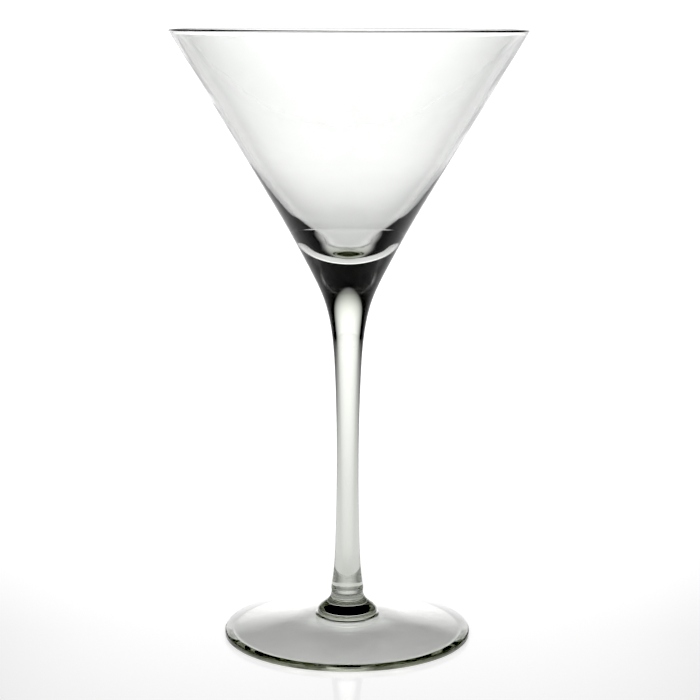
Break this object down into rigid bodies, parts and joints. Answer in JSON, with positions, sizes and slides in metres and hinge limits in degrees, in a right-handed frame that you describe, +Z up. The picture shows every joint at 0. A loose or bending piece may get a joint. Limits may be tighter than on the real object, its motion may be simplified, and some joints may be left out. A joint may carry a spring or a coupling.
{
  "type": "martini glass",
  "caption": "Stemmed cocktail glass with a wide conical bowl, a slim solid stem flared into the bowl, and a round flat foot with a small hub.",
  "frame": {"origin": "centre of the resting ring under the foot, on the plane that the glass stands on", "axes": "+Z up the axis of revolution, from the foot to the rim; +X and +Y are any two directions square to it, because the glass is round"},
  "size_m": [0.1096, 0.1096, 0.1904],
  "materials": {
    "bowl_glass": "clear colourless glass, fire-polished",
    "stem_glass": "clear glass, very faint grey-green in the thick section",
    "foot_glass": "clear glass, very faint grey-green, fire-polished edge"
  },
  "bodies": {
    "root": {"bowl": "bowl_glass", "stem": "stem_glass", "foot": "foot_glass"}
  },
  "joints": []
}
